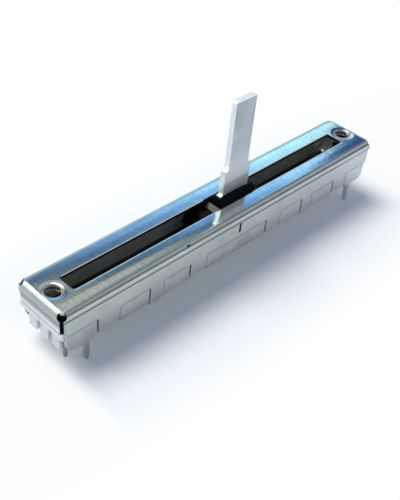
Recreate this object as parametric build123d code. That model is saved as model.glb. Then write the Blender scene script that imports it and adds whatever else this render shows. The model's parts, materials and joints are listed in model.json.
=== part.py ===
from build123d import *
import os

os.makedirs("parts", exist_ok=True)

# Slide potentiometer with two sections, in millimetres.
# X runs along the slot, Y across it, Z up. The tips of the four legs stand at Z = 0
# and the middle of the body is at X = 0, Y = 0.

# Housing
case_height = 6.5
body_width = 8.6
leg_length = 3.0
sheet = 0.5
bend_radius = 0.75
rim_height = 1.5
rim_step = 0.15
rim_taper = 0.45
rim_taper_depth = 0.12
seam_depth = 3.8
seam_gap = 0.06
wrap_radius = 0.5
edge_radius = 0.08

# Slot and tapped holes in the cover
travel = 45.2
end_play = 0.1
slot_width = 2.8
slot_corner = 0.45
hole_inset = 2.2
thread_radius = 1.03
hole_entry = 0.34
collar_wall = 0.42
collar_depth = 1.05

# Corner reliefs, slits and windows of the cover
relief_radius = 0.6
relief_inset = 0.4
relief_tilt = 52
corner_slit = 0.5
flap_depth = 3.0
end_gap = 0.12
tab_seam = 0.1
window_width = 0.45
window_height = 1.55
window_x = 0.47

# Tongues of the cover and the notches that they sit in. Each has its width and the
# distance of its middle from the nearer end of the body.
left_tongues = ((7.45, 3.4), (15.45, 2.3), (22.95, 3.0))
right_tongues = ((22.4, 3.0), (14.9, 2.2), (6.95, 3.1))
long_tongues = (1, 4)
short_tongue_rise = 0.45
long_tongue_drop = 0.15
tongue_round = 0.8
tongue_root = 0.3
slit_gap = 0.26
line_gap = 0.08

# Lower case
ear_length = 3.5
ear_end_inset = 0.9
ear_round = 1.2
case_bend = 0.5
leg_inset = 3.1
leg_width = 0.72
leg_tip_width = 0.34
leg_point_length = 0.8

# Board and its printed layers
board_thickness = 0.8
board_side_clearance = 0.05
board_end_clearance = 0.1
print_thickness = 0.04
collector_width = 0.9
collector_keel_gap = 0.25
layer_gap = 0.55
layer_edge = 0.3
layer_end_margin = 1.2
collector_short = 0.8
pad_rivet_gap = 0.05

# Terminals and their rivets
terminal_inset = 0.3
terminal_thickness = 0.25
terminal_width = 0.6
tongue_plate_width = 1.1
tongue_plate_length = 1.6
tongue_plate_edge = 0.1
terminal_drops = (1.45, 1.2, 0.85, 0.4)
ground_terminal_drop = 1.15
terminal_bend = 0.22
terminal_point = 0.3
rivet_radius = 0.4
rivet_head_radius = 0.52
rivet_head = 0.1

# End blocks
block_clearance = 0.05
block_wall = 1.0
tooth_drop = 0.2
tooth_thickness = 0.7
groove_clearance = 0.05
screw_room_radius = 1.65
screw_room_floor = 0.95
block_corner_cut = 1.0
block_corner_drop = 0.9

# Carriage, lever and springs
rest_x = 2.9
boss_length = 6.6
boss_side_clearance = 0.15
boss_rise = 0.8
boss_shoulder_sink = 0.1
boss_ridge_width = 1.24
shoe_overhang = 2.5
shoe_side_clearance = 0.1
shoe_top_gap = 0.85
shoe_bottom_gap = 0.9
skid_height = 1.0
skid_depth = 0.35
keel_width = 0.8
keel_clearance = 0.06
shoe_chamfer = 0.25
lever_width = 3.9
lever_thickness = 0.8
lever_rise = 15.2
lever_root_rise = 0.06
lever_lower_width = 5.0
lever_shoulder = 4.85
lever_slope = 0.6
lever_foot = 0.45
lever_root_floor = 0.5
lever_chamfer = 0.22
lever_fit = 0.02
spring_thickness = 0.12
spring_side_inset = 0.85
spring_tip_length = 0.6
spring_tip_drop = 0.55
spring_foot_length = 4.0
spring_crest_gap = 0.1
spring_play = 0.07
brush_thickness = 0.12
brush_base_length = 3.0
brush_base_start = 1.0
brush_reach = 1.9
brush_tip = 0.45
brush_gap = 0.06
finger_width = 0.3
finger_pitch = 0.42
stake_radius = 0.28
stake_length = 0.3
stake_fit = 0.03

# Upright levels that follow
top_z = leg_length + case_height
floor_z = leg_length
plate_under_z = top_z - sheet
rim_z = top_z - rim_height
seam_z = top_z - seam_depth
flap_z = top_z - flap_depth
board_bottom_z = floor_z + sheet
board_top_z = board_bottom_z + board_thickness
print_top_z = board_top_z + print_thickness
terminal_top_z = print_top_z + terminal_thickness
shoe_top_z = plate_under_z - shoe_top_gap
shoe_bottom_z = board_top_z + shoe_bottom_gap
boss_top_z = top_z + boss_rise
boss_shoulder_z = top_z - boss_shoulder_sink
root_top_z = boss_top_z + lever_root_rise
root_bottom_z = shoe_bottom_z + lever_root_floor

# Places along the body that follow from the travel
travel_half = travel / 2
boss_half = boss_length / 2
shoe_half = boss_half + shoe_overhang
slot_half = travel_half + boss_half + end_play
block_inner_x = travel_half + shoe_half + end_play
block_outer_x = block_inner_x + block_wall
wall_inner_x = block_outer_x + block_clearance
wall_outer_x = wall_inner_x + sheet
half_length = wall_outer_x + rim_step
hole_x = half_length - hole_inset
ear_end_x = half_length - ear_end_inset
ear_start_x = ear_end_x - ear_length
leg_x = ear_end_x - leg_inset
board_half = block_inner_x - board_end_clearance
track_half = travel_half + brush_reach - brush_base_start + layer_end_margin
rivet_x = board_half - tongue_plate_length / 2
pad_end_x = rivet_x - rivet_radius - pad_rivet_gap
terminal_x = block_outer_x - tooth_thickness

# Places across the body that follow from its width
half_width = body_width / 2
wall_outer_y = half_width - rim_step
wall_inner_y = wall_outer_y - sheet
block_half_y = wall_inner_y - block_clearance
board_half_y = wall_inner_y - board_side_clearance
shoe_side_y = wall_inner_y - shoe_side_clearance
boss_half_y = slot_width / 2 - boss_side_clearance
collector_near_y = keel_width / 2 + collector_keel_gap
collector_far_y = collector_near_y + collector_width
resistive_near_y = collector_far_y + layer_gap
resistive_far_y = board_half_y - layer_edge
terminal_pitch = 2 * (block_half_y - terminal_inset) / 3
outer_leg_y = 1.5 * terminal_pitch
inner_leg_y = 0.5 * terminal_pitch
outer_plate_y = block_half_y - tongue_plate_edge - tongue_plate_width / 2


def block(x_from, x_to, y_from, y_to, z_from, z_to):
    """A rectangular solid between two corners."""
    size = Box(abs(x_to - x_from), abs(y_to - y_from), abs(z_to - z_from))
    return Pos((x_from + x_to) / 2, (y_from + y_to) / 2, (z_from + z_to) / 2) * size


def half_turn(shape):
    """The same shape turned half round about the upright axis."""
    return Rot(0, 0, 180) * shape


def tongue_rows():
    """Centre, width and foot level of each tongue, from left to right."""
    places = [(distance - half_length, width) for distance, width in left_tongues]
    places += [(half_length - distance, width) for distance, width in right_tongues]
    rows = []
    for number, (centre, width) in enumerate(places):
        foot = floor_z + short_tongue_rise
        if number in long_tongues:
            foot = floor_z - long_tongue_drop
        rows.append((centre, width, foot))
    return rows


def comb(left_gap, right_gap, seam_drop, foot_drop, band_height, rounded):
    """A band with its teeth hanging from the seam, drawn as seen from the front."""
    band_half = wall_outer_x - wrap_radius
    seam = seam_z - seam_drop
    outline = Pos(0, seam + band_height / 2) * Rectangle(2 * band_half, band_height)
    roots = []
    corners = []
    for centre, width, tongue_foot in tongue_rows():
        left = centre - width / 2 - left_gap
        right = centre + width / 2 + right_gap
        foot = tongue_foot - foot_drop
        tooth = Rectangle(right - left, seam - foot)
        outline += Pos((left + right) / 2, (seam + foot) / 2) * tooth
        roots.append((right, seam))
        corners.append((right, foot))
    root_points = [v for v in outline.vertices() if near_any(v, roots)]
    outline = fillet(root_points, tongue_root)
    if rounded:
        foot_points = [v for v in outline.vertices() if near_any(v, corners)]
        outline = fillet(foot_points, tongue_round)
    return outline


def near_any(vertex, points):
    """True for a vertex that lies on one of the points."""
    return any(abs(vertex.X - x) + abs(vertex.Y - y) < edge_radius / 10 for x, y in points)


def front_plate(outline, inner_y, thickness):
    """An outline in X and Z made a plate, from inner_y towards the front."""
    return extrude(Plane.XZ.offset(inner_y) * outline, amount=thickness)


def top_edges(shape):
    """The edges that lie in the top face."""
    near = edge_radius / 10
    return shape.edges().filter_by_position(Axis.Z, top_z - near, top_z + near)


def make_cover():
    """The upper shell: one folded sheet with slot, tapped holes, rim and tongues."""
    rim = block(-half_length, half_length, -half_width, half_width, rim_z, top_z)
    rim = fillet(rim.edges().filter_by(Axis.Z), wrap_radius)
    rim = fillet(rim.faces().sort_by(Axis.Z)[-1].edges(), bend_radius)
    under = rim.faces().sort_by(Axis.Z)[0]
    rim = chamfer(under.edges(), rim_taper_depth, rim_taper, reference=under)
    skirt = block(-wall_outer_x, wall_outer_x, -wall_outer_y, wall_outer_y, seam_z, rim_z)
    skirt = fillet(skirt.edges().filter_by(Axis.Z), wrap_radius)
    inner_x = half_length - sheet
    inner_y = half_width - sheet
    rim_room = block(-inner_x, inner_x, -inner_y, inner_y, rim_z, plate_under_z)
    skirt_room = block(-wall_inner_x, wall_inner_x, -wall_inner_y, wall_inner_y, seam_z, rim_z)
    shell = rim + skirt - rim_room - skirt_room

    tongues = front_plate(comb(0, 0, 0, 0, sheet, True), wall_inner_y, sheet)
    shell += tongues
    shell += half_turn(tongues)

    slot = RectangleRounded(2 * slot_half, slot_width, slot_corner)
    shell -= extrude(Pos(0, 0, plate_under_z - sheet) * slot, amount=3 * sheet)
    for side in (-1, 1):
        at = Pos(side * hole_x, 0, 0)
        collar_z = (plate_under_z + top_z - collar_depth) / 2
        collar_height = collar_depth - sheet
        shell += at * Pos(0, 0, collar_z) * Cylinder(thread_radius + collar_wall, collar_height)
        shell -= at * Pos(0, 0, top_z - collar_depth) * Cylinder(thread_radius, 4 * collar_depth)

    between = [e for e in top_edges(shell) if abs(e.center().X) < slot_half + edge_radius]
    slot_edges = [e for e in between if abs(e.center().Y) < slot_width / 2 + edge_radius]
    shell = chamfer(slot_edges, edge_radius)
    entries = [e for e in top_edges(shell).filter_by(GeomType.CIRCLE)
               if abs(abs(e.arc_center.X) - hole_x) < edge_radius]
    shell = fillet(entries, hole_entry)

    for x_side in (-1, 1):
        for y_side in (-1, 1):
            corner_x = x_side * (half_length - relief_inset)
            corner_y = y_side * (half_width - relief_inset)
            turn = Rot(0, 0, 45 * x_side * y_side)
            tip = Rot(0, x_side * relief_tilt, 0)
            hole = Cylinder(relief_radius, 4 * relief_radius)
            shell -= Pos(corner_x, corner_y, top_z - relief_inset) * turn * tip * hole
            slit = Box(4 * relief_radius, corner_slit, flap_depth)
            shell -= Pos(corner_x, corner_y, top_z - flap_depth / 2) * turn * slit
        outside = x_side * (half_length + sheet)
        inside_x = x_side * (wall_inner_x - sheet / 2)
        gap_y = half_width - relief_inset
        shell -= block(inside_x, outside, -gap_y, gap_y, flap_z - end_gap, flap_z)
        shell -= block(inside_x, outside, -tab_seam / 2, tab_seam / 2, seam_z - sheet, flap_z)

    window = Pos(window_x, rim_z - window_height / 2) * Rectangle(window_width, window_height)
    window_cut = front_plate(window, wall_inner_y - sheet, 3 * sheet)
    shell -= window_cut
    shell -= half_turn(window_cut)
    return shell


def make_lower_case():
    """The lower shell: a folded channel with notches, rounded ears and four legs."""
    channel = block(-ear_start_x, ear_start_x, -wall_outer_y, wall_outer_y, floor_z, seam_z)
    bottom_edges = channel.faces().sort_by(Axis.Z)[0].edges().filter_by(Axis.X)
    channel = fillet(bottom_edges, case_bend)
    channel -= block(-half_length, half_length, -wall_inner_y, wall_inner_y, board_bottom_z, top_z)

    ear_from = ear_start_x - sheet
    ear = Pos((ear_from + ear_end_x) / 2, (floor_z + seam_z) / 2) * Rectangle(
        ear_end_x - ear_from, seam_z - floor_z)
    lower_corner = [v for v in ear.vertices() if near_any(v, [(ear_end_x, floor_z)])]
    ear = fillet(lower_corner, ear_round)
    leg = Polyline(
        (leg_x - leg_width / 2, floor_z + sheet),
        (leg_x - leg_width / 2, leg_point_length),
        (leg_x - leg_tip_width / 2, 0),
        (leg_x + leg_tip_width / 2, 0),
        (leg_x + leg_width / 2, leg_point_length),
        (leg_x + leg_width / 2, floor_z + sheet),
        close=True,
    )
    ear += make_face(leg)
    plate = front_plate(ear, wall_inner_y, sheet)
    for piece in (plate, mirror(plate, Plane.YZ)):
        channel += piece
        channel += half_turn(piece)

    front_cut = comb(slit_gap, line_gap, seam_gap, case_height, seam_depth, False)
    rear_cut = comb(line_gap, line_gap, seam_gap, case_height, seam_depth, False)
    channel -= front_plate(front_cut, wall_inner_y - line_gap, 4 * sheet)
    channel -= half_turn(front_plate(rear_cut, wall_inner_y - line_gap, 4 * sheet))
    for side in (-1, 1):
        end_x = side * (wall_outer_x - wrap_radius)
        over = block(end_x, side * half_length, -half_width, half_width, seam_z - seam_gap, top_z)
        channel -= over
    return channel


def make_board():
    """The phenolic board, with a hole for each rivet."""
    board = block(-board_half, board_half, -board_half_y, board_half_y, board_bottom_z, board_top_z)
    for x, y in rivet_places():
        board -= Pos(x, y, board_top_z) * Cylinder(rivet_radius, 4 * board_thickness)
    return board


def rivet_places():
    """Where each terminal is riveted to the board."""
    left = [(-rivet_x, y) for y in (-outer_plate_y, -inner_leg_y, inner_leg_y, outer_plate_y)]
    right = [(rivet_x, y) for y in (-inner_leg_y, inner_leg_y)]
    return left + right


def layer(x_from, x_to, y_from, y_to):
    """A printed layer on the board."""
    return block(x_from, x_to, y_from, y_to, board_top_z, print_top_z)


def make_resistive_track(side):
    """The long carbon layer of one section."""
    return layer(-track_half, track_half, side * resistive_near_y, side * resistive_far_y)


def make_collector_track(side):
    """The conductive layer that the same brush bridges to."""
    end = track_half - collector_short
    return layer(-track_half, end, side * collector_near_y, side * collector_far_y)


def make_pads():
    """Silver pads: two at the left of each section and one wide one at its right."""
    pads = []
    for side in (-1, 1):
        resistive = (side * resistive_near_y, side * resistive_far_y)
        collector = (side * collector_near_y, side * collector_far_y)
        pads.append(layer(-pad_end_x, -track_half, *resistive))
        pads.append(layer(-pad_end_x, -track_half, *collector))
        pads.append(layer(track_half, pad_end_x, collector[0], resistive[1]))
    return Compound(children=pads)


def make_terminal(x_side, plate_y, leg_y, drop):
    """A stamped terminal: a plate on the board, a bend and a leg with a blunt point."""
    inner = rivet_x - tongue_plate_length / 2
    neck = block_inner_x - groove_clearance
    plate = block(inner, neck, plate_y - tongue_plate_width / 2, plate_y + tongue_plate_width / 2,
                  print_top_z, terminal_top_z)
    leg_outer = terminal_x + terminal_thickness
    arm = block(inner, leg_outer, leg_y - terminal_width / 2, leg_y + terminal_width / 2,
                print_top_z, terminal_top_z)
    foot_z = floor_z - drop
    leg = block(terminal_x, leg_outer, leg_y - terminal_width / 2, leg_y + terminal_width / 2,
                foot_z, terminal_top_z)
    foot_edges = leg.faces().sort_by(Axis.Z)[0].edges().filter_by(Axis.X)
    leg = chamfer(foot_edges, terminal_point, terminal_width / 3)
    body = arm + leg
    outer_edge = body.edges().filter_by(Axis.Y).group_by(Axis.X)[-1].sort_by(Axis.Z)[-1]
    body = fillet(outer_edge, terminal_bend)
    body += plate
    body -= Pos(rivet_x, plate_y, board_top_z) * Cylinder(rivet_radius, 4 * board_thickness)
    return body if x_side > 0 else mirror(body, Plane.YZ)


def make_rivets():
    """The rivets, one at each terminal, with a head over it and flush under the board."""
    shank_height = terminal_top_z - board_bottom_z
    rivet = Pos(0, 0, (board_bottom_z + terminal_top_z) / 2) * Cylinder(rivet_radius, shank_height)
    rivet += Pos(0, 0, terminal_top_z + rivet_head / 2) * Cylinder(rivet_head_radius, rivet_head)
    return Compound(children=[Pos(x, y, 0) * rivet for x, y in rivet_places()])


def make_end_block():
    """The moulded block at the right end; the left one is the same, turned round."""
    foot = block(ear_start_x + block_clearance, block_outer_x, -block_half_y, block_half_y,
                 floor_z, board_bottom_z)
    upright = block(block_inner_x, block_outer_x, -block_half_y, block_half_y,
                    floor_z, plate_under_z - block_clearance)
    body = foot + upright
    tooth_z = floor_z - tooth_drop
    pitch = terminal_pitch
    for number in range(-1, 2):
        centre = number * pitch
        half = (pitch - terminal_width) / 2 - groove_clearance
        tooth = block(terminal_x, block_outer_x, centre - half, centre + half, tooth_z, board_bottom_z)
        tooth = fillet(tooth.faces().sort_by(Axis.Z)[0].edges().filter_by(Axis.X), tooth_drop / 2)
        body += tooth
    half_groove = terminal_width / 2 + groove_clearance
    for y in (-outer_leg_y, -inner_leg_y, inner_leg_y, outer_leg_y):
        channel_top = terminal_top_z + groove_clearance
        body -= block(terminal_x - groove_clearance, half_length, y - half_groove, y + half_groove,
                      0, channel_top)
        body -= block(ear_start_x, half_length, y - half_groove, y + half_groove,
                      board_top_z, channel_top)
    room_floor_z = terminal_top_z + groove_clearance + screw_room_floor
    room_height = plate_under_z - room_floor_z
    body -= Pos(hole_x, 0, (plate_under_z + room_floor_z) / 2) * Cylinder(
        screw_room_radius, room_height)
    for y in (-block_half_y, block_half_y):
        corner = Box(block_corner_cut, block_corner_cut, 2 * block_corner_drop)
        body -= Pos(block_outer_x, y, plate_under_z) * Rot(0, 0, 45) * corner
    return body


def make_lever():
    """The flat metal lever, stamped from strip, with a wide lower part and a foot ledge."""
    half = lever_width / 2
    lower = lever_lower_width / 2
    shoulder_z = top_z + lever_shoulder
    tip_z = top_z + lever_rise
    points = Polyline(
        (-lower - lever_foot, root_bottom_z),
        (-lower - lever_foot, root_top_z),
        (-lower, root_top_z),
        (-lower, shoulder_z),
        (-half, shoulder_z),
        (-half, tip_z),
        (half, tip_z),
        (half, shoulder_z + lever_slope / 2),
        (lower, shoulder_z - lever_slope / 2),
        (lower, root_bottom_z),
        close=True,
    )
    outline = make_face(points)
    tips = [v for v in outline.vertices() if near_any(v, [(-half, tip_z), (half, tip_z)])]
    outline = chamfer(tips, lever_chamfer)
    return Pos(rest_x, 0, 0) * front_plate(outline, -lever_thickness / 2, lever_thickness)


def make_root_pocket():
    """The room that the lever's root needs in the carriage."""
    width = lever_lower_width + lever_foot + 2 * lever_fit
    outline = Pos(-lever_foot / 2, (root_bottom_z + root_top_z) / 2) * Rectangle(
        width, root_top_z - root_bottom_z)
    inner_y = -lever_thickness / 2 - lever_fit
    return front_plate(outline, inner_y, lever_thickness + 2 * lever_fit)


def make_carriage():
    """The black moulding: a shoe with skids and a keel, and a boss through the slot."""
    side_y = shoe_side_y
    waist_y = side_y - skid_depth
    keel_z = board_top_z + keel_clearance
    profile = Polyline(
        (-side_y, shoe_top_z),
        (-side_y, shoe_top_z - skid_height),
        (-waist_y, shoe_top_z - skid_height),
        (-waist_y, shoe_bottom_z + skid_height / 2),
        (-side_y, shoe_bottom_z + skid_height / 2),
        (-side_y, shoe_bottom_z),
        (-keel_width / 2, shoe_bottom_z),
        (-keel_width / 2, keel_z),
        (keel_width / 2, keel_z),
        (keel_width / 2, shoe_bottom_z),
        (side_y, shoe_bottom_z),
        (side_y, shoe_bottom_z + skid_height / 2),
        (waist_y, shoe_bottom_z + skid_height / 2),
        (waist_y, shoe_top_z - skid_height),
        (side_y, shoe_top_z - skid_height),
        (side_y, shoe_top_z),
        close=True,
    )
    body = extrude(Plane.YZ.offset(-shoe_half) * make_face(profile), amount=2 * shoe_half)
    ends = body.faces().filter_by(Axis.X)
    end_edges = [e for face in ends for e in face.edges().filter_by(Axis.Y).group_by(Axis.Z)[-1]]
    body = chamfer(end_edges, shoe_chamfer)
    ridge_y = boss_ridge_width / 2
    boss_profile = Polyline(
        (-boss_half_y, shoe_top_z - shoe_chamfer),
        (-boss_half_y, boss_shoulder_z),
        (-ridge_y, boss_top_z),
        (ridge_y, boss_top_z),
        (boss_half_y, boss_shoulder_z),
        (boss_half_y, shoe_top_z - shoe_chamfer),
        close=True,
    )
    boss = extrude(Plane.YZ.offset(-boss_half) * make_face(boss_profile), amount=2 * boss_half)
    body += fillet(boss.edges().filter_by(Axis.Z), shoe_chamfer)
    body -= make_root_pocket()
    for x, y in stake_places():
        stake_z = shoe_bottom_z - stake_length / 2
        body += Pos(x, y, stake_z) * Cylinder(stake_radius, stake_length)
    return Pos(rest_x, 0, 0) * body


def stake_places():
    """Where a moulded stake holds each brush, about the carriage's middle."""
    x = brush_base_start + brush_base_length / 2
    y = (collector_near_y + resistive_far_y) / 2
    return [(x, -y), (x, y)]


def make_guide_spring():
    """The leaf spring on the shoe: a bent frame with a crest and a sloping tip at each end."""
    low = shoe_top_z + spring_thickness / 2
    crest = plate_under_z - spring_crest_gap - spring_thickness / 2
    window_x = boss_half + spring_play
    window_y = boss_half_y + spring_play
    tip_x = window_x + spring_tip_length
    tip = crest - spring_tip_drop
    foot = spring_foot_length / 2
    path = Polyline((-tip_x, tip), (-window_x, crest), (-foot, low), (foot, low),
                    (window_x, crest), (tip_x, tip))
    strip = make_face(offset(path, amount=spring_thickness / 2, side=Side.BOTH, kind=Kind.INTERSECTION))
    half_y = shoe_side_y - spring_side_inset
    body = front_plate(strip, -half_y, 2 * half_y)
    body -= block(-window_x, window_x, -window_y, window_y, shoe_bottom_z, top_z)
    return Pos(rest_x, 0, 0) * body


def finger_count(width):
    """How many contact fingers fit on a layer of this width."""
    return int((width - finger_width) / finger_pitch) + 1


def make_brush(side):
    """A contact brush: a staked plate with fingers that reach down to both tracks."""
    start = brush_base_start
    end = start + brush_base_length
    half = brush_thickness / 2
    top = shoe_bottom_z - half
    contact = print_top_z + brush_gap + half
    base = block(start, end, collector_near_y, resistive_far_y, shoe_bottom_z - brush_thickness,
                 shoe_bottom_z)
    path = Polyline((start + half, top), (start, top), (start - brush_reach, contact),
                    (start - brush_reach - brush_tip, contact + brush_tip / 2))
    strip = make_face(offset(path, amount=half, side=Side.BOTH, kind=Kind.INTERSECTION))
    finger = front_plate(strip, -finger_width / 2, finger_width)
    for near, far in ((collector_near_y, collector_far_y), (resistive_near_y, resistive_far_y)):
        count = finger_count(far - near)
        for number in range(count):
            y = (near + far) / 2 + (number - (count - 1) / 2) * finger_pitch
            base += Pos(0, y, 0) * finger
    for x, y in stake_places():
        if y > 0:
            base -= Pos(x, y, top) * Cylinder(stake_radius + stake_fit, 4 * brush_thickness)
    body = base if side > 0 else mirror(base, Plane.XZ)
    return Pos(rest_x, 0, 0) * body


nodes = {
    "cover": make_cover(),
    "lower_case": make_lower_case(),
    "track_board": make_board(),
    "resistive_track_front": make_resistive_track(-1),
    "resistive_track_rear": make_resistive_track(1),
    "collector_track_front": make_collector_track(-1),
    "collector_track_rear": make_collector_track(1),
    "silver_pads": make_pads(),
    "terminal_rivets": make_rivets(),
    "end_block_right": make_end_block(),
    "end_block_left": half_turn(make_end_block()),
    "input_terminal_front": make_terminal(-1, -outer_plate_y, -outer_leg_y, terminal_drops[0]),
    "input_terminal_rear": make_terminal(-1, outer_plate_y, outer_leg_y, terminal_drops[3]),
    "wiper_terminal_front": make_terminal(-1, -inner_leg_y, -inner_leg_y, terminal_drops[1]),
    "wiper_terminal_rear": make_terminal(-1, inner_leg_y, inner_leg_y, terminal_drops[2]),
    "ground_terminal_front": make_terminal(1, -inner_leg_y, -inner_leg_y, ground_terminal_drop),
    "ground_terminal_rear": make_terminal(1, inner_leg_y, inner_leg_y, ground_terminal_drop),
    "carriage": make_carriage(),
    "lever": make_lever(),
    "guide_spring": make_guide_spring(),
    "brush_front": make_brush(-1),
    "brush_rear": make_brush(1),
}

print("travel each way from the middle:", round(travel_half, 3))
print("slider limits from rest:", round(-travel_half - rest_x, 3), round(travel_half - rest_x, 3))
for name, shape in nodes.items():
    export_step(shape, f"parts/{name}.step")
    print(name, round(shape.volume, 3), "mm3")
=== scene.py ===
import json
import math

import bpy
from mathutils import Matrix, Vector


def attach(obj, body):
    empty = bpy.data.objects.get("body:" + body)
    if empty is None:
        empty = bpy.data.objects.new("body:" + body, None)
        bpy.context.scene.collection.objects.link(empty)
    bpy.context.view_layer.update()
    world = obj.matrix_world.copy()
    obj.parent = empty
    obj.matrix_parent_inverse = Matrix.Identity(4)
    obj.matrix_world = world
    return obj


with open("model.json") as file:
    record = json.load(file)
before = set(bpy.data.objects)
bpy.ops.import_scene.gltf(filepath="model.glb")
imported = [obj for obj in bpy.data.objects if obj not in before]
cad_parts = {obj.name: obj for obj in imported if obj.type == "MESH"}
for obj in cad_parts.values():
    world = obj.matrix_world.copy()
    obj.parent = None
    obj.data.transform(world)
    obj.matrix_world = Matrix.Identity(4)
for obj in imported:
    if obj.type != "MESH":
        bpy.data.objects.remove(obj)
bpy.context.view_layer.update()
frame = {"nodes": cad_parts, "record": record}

mm = 0.001
print("frame loaded:", len(frame["nodes"]), "nodes")


def linearColour(hexText):
    # sRGB hex to the linear values that the sockets take
    channels = [int(hexText[i:i + 2], 16) / 255 for i in (1, 3, 5)]
    return [c / 12.92 if c <= 0.04045 else ((c + 0.055) / 1.055) ** 2.4 for c in channels] + [1.0]


def addNode(tree, kind, inputs=None, **settings):
    # one node, its own settings, then its sockets: a socket links, anything else is a value
    node = tree.nodes.new(kind)
    for name, value in settings.items():
        setattr(node, name, value)
    for name, value in (inputs or {}).items():
        if isinstance(value, bpy.types.NodeSocket):
            tree.links.new(value, node.inputs[name])
        else:
            node.inputs[name].default_value = value
    return node


def combine(tree, operation, first, second=0.0):
    return addNode(tree, "ShaderNodeMath", {0: first, 1: second}, operation=operation).outputs["Value"]


def product(tree, first, *others):
    for other in others:
        first = combine(tree, "MULTIPLY", first, other)
    return first


def total(tree, first, *others):
    for other in others:
        first = combine(tree, "ADD", first, other)
    return first


def above(tree, value, limit):
    return combine(tree, "GREATER_THAN", value, limit)


def below(tree, value, limit):
    return combine(tree, "LESS_THAN", value, limit)


def distanceFrom(tree, value, middle):
    return combine(tree, "ABSOLUTE", combine(tree, "SUBTRACT", value, middle))


def combineVectors(tree, operation, first, second):
    return addNode(tree, "ShaderNodeVectorMath", {0: first, 1: second}, operation=operation).outputs["Vector"]


def scaled(tree, vector, factor):
    return combineVectors(tree, "MULTIPLY", vector, (factor, factor, factor))


def lengthOf(tree, vector):
    return addNode(tree, "ShaderNodeVectorMath", {0: vector}, operation="LENGTH").outputs["Value"]


def spread(tree, value, low, high, fromLow=0.3, fromHigh=0.7):
    # a value such as a noise, brought to a range
    return addNode(tree, "ShaderNodeMapRange", {"Value": value, "From Min": fromLow, "From Max": fromHigh,
                                                "To Min": low, "To Max": high}).outputs["Result"]


def rampBetween(tree, value, zeroAt, oneAt):
    # 0 at one value and 1 at the other, smooth between
    return addNode(tree, "ShaderNodeMapRange", {"Value": value, "From Min": zeroAt, "From Max": oneAt},
                   interpolation_type="SMOOTHSTEP").outputs["Result"]


def blendColours(tree, factor, first, second):
    # each colour is a socket, a hex text or four linear values; 6 and 7 are Mix's colour sockets
    first, second = (linearColour(tone) if isinstance(tone, str) else tone for tone in (first, second))
    mixed = addNode(tree, "ShaderNodeMix", {"Factor": factor, 6: first, 7: second}, data_type="RGBA")
    return mixed.outputs[2]


def grain(tree, place, sizeMm, detail=2.0, roughness=0.5):
    # noise whose spots are about sizeMm apart; three sizes stretch it along X, Y or Z
    sizes = sizeMm if isinstance(sizeMm, tuple) else (sizeMm, sizeMm, sizeMm)
    mapped = addNode(tree, "ShaderNodeMapping", {"Vector": place, "Scale": [1 / (s * mm) for s in sizes]})
    return addNode(tree, "ShaderNodeTexNoise", {"Vector": mapped.outputs["Vector"], "Scale": 1.0,
                                                "Detail": detail, "Roughness": roughness}).outputs["Fac"]


def bumpFrom(tree, height, depthMm, under=None):
    inputs = {"Height": height, "Distance": depthMm * mm, "Strength": 1.0}
    if under is not None:
        inputs["Normal"] = under
    return addNode(tree, "ShaderNodeBump", inputs).outputs["Normal"]


def startMaterial(name):
    material = bpy.data.materials.new(name)
    material.use_nodes = True
    tree = material.node_tree
    tree.nodes.clear()
    place = addNode(tree, "ShaderNodeTexCoord").outputs["Object"]
    return material, tree, place


def finishMaterial(tree, colour, metallic, rough, normal, more=None):
    shader = addNode(tree, "ShaderNodeBsdfPrincipled", {"Base Color": colour, "Metallic": metallic,
                                                        "Roughness": rough, "Normal": normal, **(more or {})})
    addNode(tree, "ShaderNodeOutputMaterial", {"Surface": shader.outputs["BSDF"]})


def measured(tree, place):
    # the place in mm, and how far along and across it is from the middle
    split = addNode(tree, "ShaderNodeSeparateXYZ", {"Vector": scaled(tree, place, 1 / mm)}).outputs
    return {"x": split["X"], "y": split["Y"], "z": split["Z"],
            "along": combine(tree, "ABSOLUTE", split["X"]), "across": combine(tree, "ABSOLUTE", split["Y"])}


# Where the two folded sheets change, in mm from the middle and from the tips of the legs. A pair
# is where the change starts and where it ends.
sheet = {"holeX": 28.0, "boreR": (1.42, 1.12), "sideBendY": (3.15, 3.95), "endBendX": (29.3, 29.9),
         "pressedX": (29.2, 29.6), "flapX": 29.9, "rimY": 4.16, "slotY": 1.45, "slotEndX": 25.75,
         "slotLowZ": 9.4, "slotTopZ": 9.497, "insideLowZ": 3.25, "insideTopZ": 9.02, "insideY": 3.9,
         "coverInsideX": 26.2, "caseInsideX": 29.0, "coolX": (4.0, 24.0), "coolShare": 0.85}


def fromHoleAxis(tree, parts):
    # distance from the nearer tapped hole's axis, in mm
    off = combine(tree, "SUBTRACT", parts["along"], sheet["holeX"])
    return combine(tree, "SQRT", total(tree, product(tree, off, off), product(tree, parts["y"], parts["y"])))


def insideMask(tree, parts, endX):
    # 1 on the inner faces, as far as endX
    height, across, along = parts["z"], parts["across"], parts["along"]
    return product(tree, below(tree, height, sheet["insideTopZ"]), above(tree, height, sheet["insideLowZ"]),
                   below(tree, across, sheet["insideY"]), below(tree, along, endX))


def coolReflectionMask(tree, parts):
    # painted reflection: the sides are painted cooler towards the right end
    return spread(tree, parts["x"], 0.0, sheet["coolShare"], *sheet["coolX"])
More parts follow.
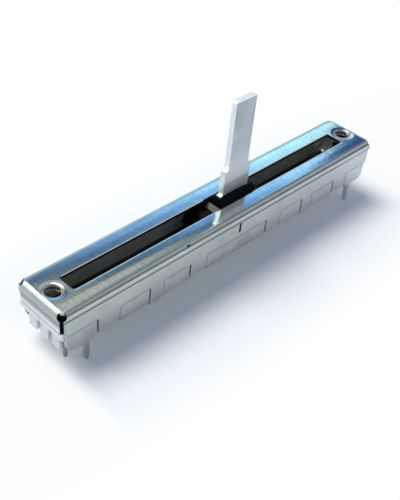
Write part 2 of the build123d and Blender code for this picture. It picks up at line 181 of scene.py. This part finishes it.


# Cover: cold-rolled steel sheet, bright tin plated, then folded. The plate levels out to a
# near mirror, and the rolling of the sheet below leaves short mottled strokes across it. It
# dips a little towards its bends and round the holes, where the punch drew it in. The folded
# sides are stretched, so they look satin, and their colour is painted a shade darker: painted
# shade, turning to a painted cool reflection towards the right end. Inside, where the plating
# is thin, it is dull and grey, and so are the sheared edges, which are painted darker still
# as painted shade.
coverFinish = {"light": "#eaedef", "dull": "#d3d9dc", "smudgeMm": 5.0,
               # painted shade: the folded sides' two tones are darker than the top's, and their cool tone is
               # a painted reflection
               "foldedLight": "#cad0c9", "foldedDull": "#b7bdb6", "foldedCoolReflection": "#c8cad2",
               "mottle": "#b8c0c4", "mottleShare": 0.5, "mottleFrom": (0.85, 1.25),
               "strokeMm": (0.3, 1.3, 0.6), "strokeDepthMm": 0.0055, "speckleMm": 0.22,
               "peelMm": 1.4, "peelDepthMm": 0.0036, "wobbleMm": 1.3, "wobbleDepthMm": 0.016,
               # painted shade: a dark spot for a small dent in the front bend
               "dent": "#2f2c28", "dentAt": (-9.6, -4.18, 9.28), "dentMm": (0.34, 0.3, 0.12),
               # sheared: the cut walls' own grey, painted darker as painted shade; bore: a painted cream
               # light
               "dentReach": (0.6, 1.3), "sheared": "#4a4d50", "bore": "#c9c5bb", "inside": "#c8cabf",
               # crease: a painted dark reflection; hem: a painted highlight
               "crease": "#8d9592", "creaseZ": 7.85, "creaseHalf": 0.55, "creaseShare": 0.75,
               # taper: painted shade along the rims
               "hem": "#e6ebec", "hemZ": (7.5, 6.9), "taper": "#8f9799", "taperZ": 8.2,
               "taperHalf": (0.4, 0.15), "taperShare": (0.7, 1.0), "taperShareX": (3.0, 9.0),
               "rough": (0.07, 0.15), "roughFrom": (0.7, 1.3), "foldedRough": 0.22, "boreRough": 0.3,
               "endRough": 0.16, "insideRough": 0.4}
# the folded sheet's own waves, in mm: dips beside the bends, round the holes and in the end flaps
coverWaves = {"sideY": (2.35, 3.85), "sideDip": 0.021, "deepX": (6.0, -14.0), "deepBy": 1.4,
              "flatX": (4.0, 12.0), "flatBy": -0.4, "endX": (28.6, 29.5), "endDip": 0.005,
              "holeR": (1.85, 1.3), "holeDip": 0.026, "flapZ": 7.45, "flapHalf": 0.75, "flapDip": 0.09,
              "rollY": (-1.66, -1.44), "rollX": 26.0, "rollDip": 0.028}


def coverHeight(tree, parts):
    # height of the sheet in mm over its flat shape
    waves = coverWaves
    atFront = below(tree, parts["y"], 0.0)
    # the front left is drawn in deeper, and the front right less
    deeper = product(tree, rampBetween(tree, parts["x"], *waves["deepX"]), waves["deepBy"])
    flatter = product(tree, rampBetween(tree, parts["x"], *waves["flatX"]), waves["flatBy"])
    change = product(tree, total(tree, deeper, flatter), atFront)
    side = product(tree, rampBetween(tree, parts["across"], *waves["sideY"]), -waves["sideDip"],
                   total(tree, change, 1.0))
    ends = product(tree, rampBetween(tree, parts["along"], *waves["endX"]), -waves["endDip"])
    dish = product(tree, rampBetween(tree, fromHoleAxis(tree, parts), *waves["holeR"]), -waves["holeDip"])
    groove = rampBetween(tree, distanceFrom(tree, parts["z"], waves["flapZ"]), waves["flapHalf"], 0.0)
    flap = product(tree, groove, -waves["flapDip"], above(tree, parts["along"], sheet["flapX"]))
    # the punch rolls the slot's front edge over a little
    roll = product(tree, rampBetween(tree, parts["y"], *waves["rollY"]), -waves["rollDip"],
                   below(tree, parts["along"], waves["rollX"]), atFront)
    return total(tree, side, ends, roll, dish, flap)


def makeCoverFinish():
    values = coverFinish
    material, tree, place = startMaterial("brightTinPlatedSteel")
    parts = measured(tree, place)
    along, across = parts["along"], parts["across"]
    patch = spread(tree, grain(tree, place, values["smudgeMm"], detail=3.0, roughness=0.6), 0.0, 1.0)
    strokes = grain(tree, place, values["strokeMm"], detail=3.0, roughness=0.65)
    speckled = total(tree, strokes, grain(tree, place, values["speckleMm"], detail=1.0))
    mottle = spread(tree, speckled, 0.0, values["mottleShare"], *values["mottleFrom"])
    # painted shade of one small dent in the front bend: a dark spot, the dent itself is not shaped
    moved = combineVectors(tree, "SUBTRACT", place, [v * mm for v in values["dentAt"]])
    reach = lengthOf(tree, combineVectors(tree, "DIVIDE", moved, [v * mm for v in values["dentMm"]]))
    dent = spread(tree, reach, 1.0, 0.0, *values["dentReach"])
    # sheared walls of the slot, between its two faces and up to the top at its ends: a duller grey of
    # their own, painted darker as painted shade
    atEnd = product(tree, above(tree, along, sheet["slotEndX"]), below(tree, parts["z"], sheet["slotTopZ"]))
    cut = product(tree, combine(tree, "MAXIMUM", below(tree, parts["z"], sheet["slotLowZ"]), atEnd),
                  below(tree, across, sheet["slotY"]), below(tree, along, sheet["coverInsideX"]))
    # the tapped bores are rougher and painted a cream tone, painted light on their far wall; the end flaps
    # carry a painted dark reflection along the crease and a painted highlight on the hem under it
    bore = rampBetween(tree, fromHoleAxis(tree, parts), *sheet["boreR"])
    atFlap = above(tree, along, sheet["flapX"])
    crease = rampBetween(tree, distanceFrom(tree, parts["z"], values["creaseZ"]), values["creaseHalf"], 0.0)
    crease = product(tree, crease, atFlap, values["creaseShare"])
    hem = product(tree, rampBetween(tree, parts["z"], *values["hemZ"]), atFlap)
    # painted shade: the long rims are painted darker where they taper in, more so towards the right
    taper = rampBetween(tree, distanceFrom(tree, parts["z"], values["taperZ"]), *values["taperHalf"])
    taper = product(tree, taper, above(tree, across, sheet["rimY"]),
                    spread(tree, parts["x"], *values["taperShare"], *values["taperShareX"]))
    inside = insideMask(tree, parts, sheet["coverInsideX"])
    folded = combine(tree, "MAXIMUM", rampBetween(tree, across, *sheet["sideBendY"]),
                     rampBetween(tree, along, *sheet["endBendX"]))
    sides = blendColours(tree, patch, values["foldedLight"], values["foldedDull"])
    # painted reflection: the sides turn cooler towards the right end
    sides = blendColours(tree, coolReflectionMask(tree, parts), sides, values["foldedCoolReflection"])
    colour = blendColours(tree, folded, blendColours(tree, patch, values["light"], values["dull"]), sides)
    for mask, tone in ((mottle, "mottle"), (dent, "dent"), (cut, "sheared"), (bore, "bore"),
                       (crease, "crease"), (hem, "hem"), (taper, "taper"), (inside, "inside")):
        colour = blendColours(tree, mask, colour, values[tone])
    # the end bends were pressed by hand tools, so they wander a little and shine less
    pressed = rampBetween(tree, along, *sheet["pressedX"])
    rough = total(tree, spread(tree, speckled, *values["rough"], *values["roughFrom"]),
                  product(tree, combine(tree, "MAXIMUM", inside, cut), values["insideRough"]),
                  product(tree, folded, values["foldedRough"]), product(tree, bore, values["boreRough"]),
                  product(tree, pressed, values["endRough"]))
    normal = bumpFrom(tree, coverHeight(tree, parts), 1.0)
    wobble = product(tree, grain(tree, place, values["wobbleMm"], detail=1.0), pressed)
    normal = bumpFrom(tree, wobble, values["wobbleDepthMm"], normal)
    normal = bumpFrom(tree, grain(tree, place, values["peelMm"], detail=1.0), values["peelDepthMm"], normal)
    normal = bumpFrom(tree, strokes, values["strokeDepthMm"], normal)
    finishMaterial(tree, colour, combine(tree, "SUBTRACT", 1.0, inside), rough, normal)
    return material


# Lower case: the same plated sheet from a duller coil, so its panels look satin. Their colour is
# painted a shade darker, as painted shade, and cooler towards the right end, as a painted reflection.
caseFinish = {"light": "#cfd4d1", "dull": "#b3b9b5", "cool": "#cbccd5", "inside": "#c8cabf", "smudgeMm": 4.0,
              "strokeMm": (0.7, 0.5, 0.14), "strokeDepthMm": 0.0008, "rough": (0.26, 0.38)}


def makeCaseFinish():
    values = caseFinish
    material, tree, place = startMaterial("satinTinPlatedSteel")
    parts = measured(tree, place)
    patch = spread(tree, grain(tree, place, values["smudgeMm"], detail=3.0, roughness=0.6), 0.0, 1.0)
    strokes = grain(tree, place, values["strokeMm"], detail=3.0, roughness=0.6)
    inside = insideMask(tree, parts, sheet["caseInsideX"])
    colour = blendColours(tree, patch, values["light"], values["dull"])
    # painted reflection: the panels turn cooler towards the right end
    colour = blendColours(tree, coolReflectionMask(tree, parts), colour, values["cool"])
    colour = blendColours(tree, inside, colour, values["inside"])
    rough = spread(tree, strokes, *values["rough"])
    normal = bumpFrom(tree, strokes, values["strokeDepthMm"])
    finishMaterial(tree, colour, combine(tree, "SUBTRACT", 1.0, inside), rough, normal)
    return material


# Lever: blanked from hard strip and barrel finished with nickel, which leaves a soft grey
# satin with a fine grain. Its low part, its narrow sides and its tip are painted lighter as painted
# light, two painted glints sit on its sides, and a band close to the slot is a painted reflection of the
# plate.
leverFinish = {"light": "#c4c9ce", "dull": "#adb3b9", "cloudMm": 2.6, "middleX": 2.9, "shoulderZ": 14.5,
               # low, the two edge tones and tip are painted light; shade is a painted reflection of the plate
               "low": "#e4e8ea", "lowZ": (19.0, 13.6), "lowShare": 0.7,
               "shade": "#a3aaac", "shadeZ": (12.6, 11.9), "shadeShare": 0.8,
               "fleck": "#e9edf3", "fleckShare": 0.22, "fleckFrom": (0.45, 0.75),
               "wideEdge": "#d2d8d0", "wideHalf": 2.44, "thinEdge": "#f4f9ff", "thinHalf": 1.9,
               "thinShare": 0.9, "tip": "#ffffff", "tipZ": 24.52,
               # painted glints at the foot ledge and the shoulder
               "glint": "#ffffff", "wornZ": (10.36, 14.35), "wornReach": (0.3, 0.1), "wornHalf": 1.93,
               "grainMm": 0.24, "grainDepthMm": 0.0055, "drawMm": (0.16, 0.5, 2.4), "drawDepthMm": 0.0016,
               "rough": (0.42, 0.54)}


def makeLeverFinish():
    values = leverFinish
    material, tree, place = startMaterial("barrelledNickelStrip")
    parts = measured(tree, place)
    height = parts["z"]
    out = distanceFrom(tree, parts["x"], values["middleX"])
    cloud = spread(tree, grain(tree, place, values["cloudMm"], detail=3.0, roughness=0.6), 0.0, 1.0)
    fine = grain(tree, place, values["grainMm"])
    # painted light low down, a painted reflection of the plate close to the slot, flecks of the grain,
    # and painted highlights on the narrow sides and the tip
    masks = [(product(tree, rampBetween(tree, height, *values["lowZ"]), values["lowShare"]), "low"),
             (product(tree, rampBetween(tree, height, *values["shadeZ"]), values["shadeShare"]), "shade"),
             (spread(tree, fine, 0.0, values["fleckShare"], *values["fleckFrom"]), "fleck"),
             (above(tree, out, values["wideHalf"]), "wideEdge"),
             (product(tree, above(tree, out, values["thinHalf"]), above(tree, height, values["shoulderZ"]),
                      values["thinShare"]), "thinEdge"),
             (above(tree, height, values["tipZ"]), "tip")]
    # painted glints at the foot ledge and the shoulder
    for level in values["wornZ"]:
        near = rampBetween(tree, distanceFrom(tree, height, level), *values["wornReach"])
        masks.append((product(tree, near, above(tree, out, values["wornHalf"])), "glint"))
    colour = blendColours(tree, cloud, values["light"], values["dull"])
    for mask, tone in masks:
        colour = blendColours(tree, mask, colour, values[tone])
    normal = bumpFrom(tree, fine, values["grainDepthMm"])
    normal = bumpFrom(tree, grain(tree, place, values["drawMm"]), values["drawDepthMm"], normal)
    finishMaterial(tree, colour, 1.0, spread(tree, fine, *values["rough"]), normal)
    return material


# Moulded plastics, layers, strip and board share one recipe: a colour that drifts a little,
# a roughness range and a fine surface.
driftMm = 1.8  # how far apart the drift's patches are
plainFinishes = {
    # acetal, injection moulded black: low sheen, faintly rippled by the mould
    "black_moulding": {"name": "blackAcetal", "light": "#0b0b0d", "dark": "#060607", "metal": 0.0,
                       "rough": (0.5, 0.62), "grainMm": 0.12, "depthMm": 0.0010,
                       "more": {"Specular IOR Level": 0.15}},
    # polyester, injection moulded off-white: matt, slightly uneven, and light passes a little into it
    "end_moulding": {"name": "creamPolyester", "light": "#faf9f4", "dark": "#f0eee6", "metal": 0.0,
                     "rough": (0.48, 0.62), "grainMm": 0.16, "depthMm": 0.0014,
                     # painted shade: near black where the corner reliefs and the screw rooms look in
                     "recess": "#0d0c0a", "recessX": 28.6, "recessY": 2.7, "recessZ": 5.9,
                     "roomR": 1.7, "roomZ": 5.0,
                     "more": {"Subsurface Weight": 0.7, "Subsurface Radius": (1.0, 0.95, 0.85),
                              "Subsurface Scale": 1.6 * mm}},
    # paper phenolic, pressed: dark brown with paper fibres
    "phenolic_board": {"name": "paperPhenolic", "light": "#4a3c26", "dark": "#33291a", "metal": 0.0,
                       "rough": (0.35, 0.5), "grainMm": (1.2, 0.12, 0.12), "depthMm": 0.0010},
    # carbon ink, screen printed and cured: dead matt black
    "carbon_print": {"name": "carbonInk", "light": "#1b1b1c", "dark": "#111112", "metal": 0.0,
                     "rough": (0.6, 0.75), "grainMm": 0.08, "depthMm": 0.0016},
    # carbon over silver ink: matt dark grey
    "collector_print": {"name": "conductiveInk", "light": "#3b3b3d", "dark": "#2a2a2c", "metal": 0.3,
                        "rough": (0.5, 0.65), "grainMm": 0.08, "depthMm": 0.0014},
    # silver ink: chalky metal, tarnished to a mid grey
    "silver_print": {"name": "silverInk", "light": "#86857f", "dark": "#6b6a64", "metal": 0.4,
                     "rough": (0.42, 0.56), "grainMm": 0.08, "depthMm": 0.0014},
    # brass strip, tin plated and stamped: plain grey with a soft shine
    "tinned_brass": {"name": "tinPlatedBrass", "light": "#9da2a4", "dark": "#7d8385", "metal": 1.0,
                     "rough": (0.26, 0.42), "grainMm": 0.22, "depthMm": 0.0012},
    # stainless strip, rolled hard and tempered, with fine lines along the strip; painted a dark grey,
    # darker than bright stainless, as painted shade
    "spring_steel": {"name": "stainlessSpringStrip", "light": "#605d5a", "dark": "#524f4c", "metal": 1.0,
                     "rough": (0.42, 0.54), "grainMm": (1.6, 0.06, 0.3), "depthMm": 0.0005},
    # phosphor bronze strip: warm metal with fine lines along the fingers
    "spring_bronze": {"name": "phosphorBronze", "light": "#d9a566", "dark": "#b98a52", "metal": 1.0,
                      "rough": (0.22, 0.34), "grainMm": (1.6, 0.06, 0.3), "depthMm": 0.0005},
}


def recessShadeMask(tree, parts, values):
    # painted shade: where the corner reliefs and the screw rooms look in, the block is painted near black
    behindRelief = product(tree, above(tree, parts["along"], values["recessX"]),
                           above(tree, parts["across"], values["recessY"]),
                           above(tree, parts["z"], values["recessZ"]))
    room = product(tree, below(tree, fromHoleAxis(tree, parts), values["roomR"]),
                   above(tree, parts["z"], values["roomZ"]))
    return combine(tree, "MAXIMUM", behindRelief, room)


def makePlainFinish(values):
    material, tree, place = startMaterial(values["name"])
    fine = grain(tree, place, values["grainMm"])
    drift = spread(tree, grain(tree, place, driftMm, detail=3.0, roughness=0.6), 0.0, 1.0)
    colour = blendColours(tree, drift, values["light"], values["dark"])
    # painted shade on the end blocks
    if "recess" in values:
        colour = blendColours(tree, recessShadeMask(tree, measured(tree, place), values), colour, values["recess"])
    finishMaterial(tree, colour, values["metal"], spread(tree, fine, *values["rough"]),
                   bumpFrom(tree, fine, values["depthMm"]), values.get("more"))
    return material


finishes = {"cover_steel": makeCoverFinish(), "case_steel": makeCaseFinish(),
            "lever_metal": makeLeverFinish()}
for slotName, values in plainFinishes.items():
    finishes[slotName] = makePlainFinish(values)

for part in frame["record"]["subparts"]:
    mesh = frame["nodes"][part["node"]].data
    mesh.materials.clear()
    mesh.materials.append(finishes[part["material_slot"]])


# Thread of the two tapped holes: a ridge one turn long in each bore, as far as the bore is
# straight, with the 0.45 mm pitch of an M2.5 screw.
thread = {"ridge": 0.18, "flat": 0.3, "middle": 1.005, "startZ": 8.6, "pitch": 0.45, "turns": 1, "steps": 36}


def makeThread(side):
    # a triangle in the XZ plane, wound round the hole's axis, with both ends closed
    bpy.ops.mesh.primitive_circle_add(vertices=3, radius=thread["ridge"] * mm, fill_type="NOTHING",
                                      rotation=(math.pi / 2, -math.pi / 2, 0))
    ridge = bpy.context.object
    ridge.name = "threadLeft" if side < 0 else "threadRight"
    bpy.ops.object.transform_apply(location=True, rotation=True, scale=True)
    bpy.ops.object.mode_set(mode="EDIT")
    bpy.ops.mesh.select_all(action="SELECT")
    bpy.ops.transform.resize(value=(thread["flat"], 1, 1), center_override=(0, 0, 0))
    bpy.ops.transform.translate(value=(thread["middle"] * mm, 0, thread["startZ"] * mm))
    bpy.ops.object.mode_set(mode="OBJECT")
    wind = ridge.modifiers.new("wind", "SCREW")
    wind.screw_offset = thread["pitch"] * mm
    wind.iterations = thread["turns"]
    wind.steps = thread["steps"]
    wind.render_steps = thread["steps"]
    bpy.ops.object.modifier_apply(modifier="wind")
    bpy.ops.object.mode_set(mode="EDIT")
    bpy.ops.mesh.select_all(action="SELECT")
    bpy.ops.mesh.normals_make_consistent(inside=False)
    bpy.ops.mesh.select_all(action="DESELECT")
    bpy.ops.mesh.select_non_manifold()
    bpy.ops.mesh.fill_holes(sides=3)
    bpy.ops.object.mode_set(mode="OBJECT")
    ridge.location = (side * sheet["holeX"] * mm, 0, 0)
    bpy.ops.object.transform_apply(location=True, rotation=True, scale=True)
    ridge.data.materials.append(finishes["cover_steel"])
    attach(ridge, "housing")


# Flat of the top at its four corners, where the slits of the model run on past the reliefs.
corner = {"x": 29.8, "y": 3.9, "from": 0.44, "to": 1.2, "width": 0.5, "topZ": 9.5, "thick": 0.42}


def makeCornerPlate(xSide, ySide):
    middle = (corner["from"] + corner["to"]) / 2 * math.sqrt(0.5)
    bpy.ops.mesh.primitive_cube_add(size=1.0, location=(xSide * (corner["x"] - middle) * mm,
                                                        ySide * (corner["y"] - middle) * mm,
                                                        (corner["topZ"] - corner["thick"] / 2) * mm),
                                    rotation=(0, 0, xSide * ySide * math.pi / 4))
    plate = bpy.context.object
    plate.name = "cornerPlate" + ("Left" if xSide < 0 else "Right") + ("Front" if ySide < 0 else "Rear")
    plate.scale = ((corner["to"] - corner["from"]) * mm, corner["width"] * mm, corner["thick"] * mm)
    bpy.ops.object.transform_apply(location=True, rotation=True, scale=True)
    plate.data.materials.append(finishes["cover_steel"])
    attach(plate, "housing")


for side in (-1, 1):
    makeThread(side)
    for ySide in (-1, 1):
        makeCornerPlate(side, ySide)
print("threads and corner plates made")


# Floor: a plain white sheet under the legs, which keeps the shadow. Only the camera and the
# mirrored view see its lift, so it puts no more light on the part. Beyond the shadow and past
# both ends it fades out to the white background, for the camera alone. Lengths are in mm.
floor = {"radius": 160.0, "sides": 64, "colour": "#f5f9fb", "lift": 0.06, "flatten": (0.25, 1.0, 1.0),
         "fade": (10.0, 22.0), "endFade": 0.85, "leftX": (-27.6, -30.8), "rightX": (29.5, 36.0)}


def makeFloor():
    bpy.ops.mesh.primitive_circle_add(vertices=floor["sides"], radius=floor["radius"] * mm, fill_type="NGON",
                                      location=(0, 0, 0))
    paperSheet = bpy.context.object
    paperSheet.name = "whiteSweep"
    material, tree, place = startMaterial("mattWhitePaper")
    white, paperColour = linearColour("#ffffff"), linearColour(floor["colour"])
    rays = addNode(tree, "ShaderNodeLightPath").outputs
    seen = combine(tree, "MAXIMUM", rays["Is Camera Ray"], rays["Is Glossy Ray"])
    paper = addNode(tree, "ShaderNodeBsdfDiffuse", {"Color": paperColour, "Roughness": 0.5})
    lift = product(tree, seen, floor["lift"])
    glow = addNode(tree, "ShaderNodeEmission", {"Color": paperColour, "Strength": lift})
    clear = addNode(tree, "ShaderNodeEmission", {"Color": white, "Strength": 1.0})
    both = addNode(tree, "ShaderNodeAddShader", {0: paper.outputs["BSDF"], 1: glow.outputs["Emission"]})
    along = measured(tree, place)["x"]
    away = lengthOf(tree, combineVectors(tree, "MULTIPLY", scaled(tree, place, 1 / mm), floor["flatten"]))
    ends = combine(tree, "MAXIMUM", rampBetween(tree, along, *floor["leftX"]),
                   rampBetween(tree, along, *floor["rightX"]))
    ends = product(tree, ends, floor["endFade"])
    edge = combine(tree, "MAXIMUM", rampBetween(tree, away, *floor["fade"]), ends)
    out = addNode(tree, "ShaderNodeMixShader", {0: product(tree, edge, rays["Is Camera Ray"]),
                                                1: both.outputs["Shader"], 2: clear.outputs["Emission"]})
    addNode(tree, "ShaderNodeOutputMaterial", {"Surface": out.outputs["Shader"]})
    paperSheet.data.materials.append(material)


# World: white to the camera. The reflections see a white background behind the part, a dull
# room in front of it, one window of open sky, paler towards the horizon, that the plated top
# mirrors, and a pale panel high at the front right. A triple is from, to and how soft, in degrees.
surround = {"ground": "#d9dde2", "behind": "#ffffff", "front": "#4a5460", "above": "#6b82a6", "strength": 0.7,
            "behindTurn": (-5.0, 185.0, 12.0), "leftTurn": (-200.0, -150.0, 10.0), "leftShare": 0.75,
            "lowRise": (-3.0, 24.0, 3.0), "highRise": (24.0, 95.0, 6.0),
            "windowTurn": (22.0, 60.0, 3.0), "windowRise": (27.0, 50.0, 2.0), "windowStrength": 1.45,
            "beyond": "#264372", "beyondTurn": (20.0, 31.5, 0.35),
            "panel": "#f4f8f0", "panelTurn": (-72.0, 2.0, 8.0), "panelRise": (27.0, 56.0, 4.0),
            "panelStrength": 0.72}
# elevation in degrees and the sky's colour there
skyStops = [(25.0, "#e0feff"), (30.5, "#c9fcff"), (32.0, "#abe7ff"), (34.0, "#9cd8fa"), (35.6, "#72a9df"),
            (37.2, "#6e9ccb"), (38.4, "#527ba6"), (39.6, "#44698f"), (40.5, "#274a70"), (41.2, "#1f3d5d"),
            (41.8, "#44596a"), (42.5, "#626d68"), (43.4, "#8d968b"), (45.5, "#a8afa2"), (52.0, "#b2b7a8")]


def setStops(ramp, stops):
    # colour stops as (place, hex), in order
    elements = ramp.color_ramp.elements
    for number, (place, hexText) in enumerate(stops):
        stop = elements[number] if number < 2 else elements.new(place)
        stop.position = place
        stop.color = linearColour(hexText)


def gateOf(tree, value, name):
    # 1 between two angles of surround, 0 outside, with soft ends
    low, high, soft = surround[name]
    up = spread(tree, value, 0.0, 1.0, math.radians(low - soft), math.radians(low + soft))
    down = spread(tree, value, 1.0, 0.0, math.radians(high - soft), math.radians(high + soft))
    return product(tree, up, down)


def makeWorld():
    world = bpy.data.worlds.new("skyAndWhite")
    bpy.context.scene.world = world
    world.use_nodes = True
    tree = world.node_tree
    tree.nodes.clear()
    way = addNode(tree, "ShaderNodeTexCoord").outputs["Generated"]
    parts = addNode(tree, "ShaderNodeSeparateXYZ", {"Vector": way}).outputs
    turn = combine(tree, "ARCTAN2", parts["Y"], parts["X"])
    rise = combine(tree, "ARCSINE", parts["Z"])
    # ground, then background or room by side, then the ceiling
    left = product(tree, gateOf(tree, turn, "leftTurn"), surround["leftShare"])
    behind = combine(tree, "MAXIMUM", gateOf(tree, turn, "behindTurn"), left)
    around = blendColours(tree, gateOf(tree, rise, "lowRise"), surround["ground"],
                          blendColours(tree, behind, surround["front"], surround["behind"]))
    around = blendColours(tree, gateOf(tree, rise, "highRise"), around, surround["above"])
    around = scaled(tree, around, surround["strength"])
    # the pale panel, then the window with the sky in it and a darker part beside the sky
    panel = product(tree, gateOf(tree, turn, "panelTurn"), gateOf(tree, rise, "panelRise"))
    panelColour = [c * surround["panelStrength"] for c in linearColour(surround["panel"])[:3]] + [1.0]
    around = blendColours(tree, panel, around, panelColour)
    first, last = skyStops[0][0], skyStops[-1][0]
    height = spread(tree, rise, 0.0, 1.0, math.radians(first), math.radians(last))
    sky = addNode(tree, "ShaderNodeValToRGB", {"Fac": height})
    setStops(sky, [((angle - first) / (last - first), colour) for angle, colour in skyStops])
    inside = blendColours(tree, gateOf(tree, turn, "beyondTurn"), sky.outputs["Color"], surround["beyond"])
    window = product(tree, gateOf(tree, turn, "windowTurn"), gateOf(tree, rise, "windowRise"))
    lit = blendColours(tree, window, around, scaled(tree, inside, surround["windowStrength"]))
    soft = addNode(tree, "ShaderNodeBackground", {"Color": lit, "Strength": 1.0})
    white = addNode(tree, "ShaderNodeBackground", {"Color": linearColour("#ffffff"), "Strength": 1.0})
    seen = addNode(tree, "ShaderNodeLightPath").outputs["Is Camera Ray"]
    out = addNode(tree, "ShaderNodeMixShader", {0: seen, 1: soft.outputs["Background"],
                                                2: white.outputs["Background"]})
    addNode(tree, "ShaderNodeOutputWorld", {"Surface": out.outputs["Shader"]})


# Lamps: a large soft lamp high behind the body, and a smaller one behind its left end, which
# puts the white edge on the left bend. Both aim at the middle of the case.
lampAimZ = 6.0
lamps = [
    {"name": "highSoftbox", "turn": 95.0, "rise": 65.0, "awayMm": 420.0, "sizeMm": 250.0, "watts": 1.25,
     "colour": "#fffaf4"},
    {"name": "leftSoftbox", "turn": 142.0, "rise": 42.0, "awayMm": 420.0, "sizeMm": 190.0, "watts": 0.4,
     "colour": "#ffffff"},
]


def makeLamp(values):
    turn, rise = math.radians(values["turn"]), math.radians(values["rise"])
    way = Vector((math.cos(turn) * math.cos(rise), math.sin(turn) * math.cos(rise), math.sin(rise)))
    data = bpy.data.lights.new(values["name"], "AREA")
    data.shape = "DISK"
    data.size = values["sizeMm"] * mm
    data.energy = values["watts"]
    data.color = linearColour(values["colour"])[:3]
    lamp = bpy.data.objects.new(values["name"], data)
    lamp.location = Vector((0, 0, lampAimZ * mm)) + way * values["awayMm"] * mm
    lamp.rotation_euler = (-way).to_track_quat("-Z", "Y").to_euler()
    bpy.context.scene.collection.objects.link(lamp)


# Camera: worked out from the straight edges of the body, 117 mm from the middle of its top.
camera = {"placeMm": (-72.75, -60.48, 79.09), "right": (0.70260, -0.70639, 0.08586),
          "up": (0.40815, 0.49889, 0.76454), "back": (-0.58290, -0.50212, 0.63883),
          "focalPixels": 859.77, "framePixels": 500.0, "sensorMm": 36.0, "clip": (0.002, 5.0)}


def makeCamera():
    data = bpy.data.cameras.new("viewCamera")
    data.sensor_fit = "VERTICAL"
    data.sensor_height = camera["sensorMm"]
    data.lens = camera["focalPixels"] / camera["framePixels"] * camera["sensorMm"]
    data.clip_start, data.clip_end = camera["clip"]
    viewer = bpy.data.objects.new("viewCamera", data)
    axes = Matrix((camera["right"], camera["up"], camera["back"])).transposed()
    viewer.matrix_world = Matrix.Translation(Vector(camera["placeMm"]) * mm) @ axes.to_4x4()
    bpy.context.scene.collection.objects.link(viewer)
    bpy.context.scene.camera = viewer


makeFloor()
makeWorld()
for values in lamps:
    makeLamp(values)
makeCamera()
bpy.context.scene.view_settings.view_transform = "Standard"
print("floor, surround, lamps and camera set")
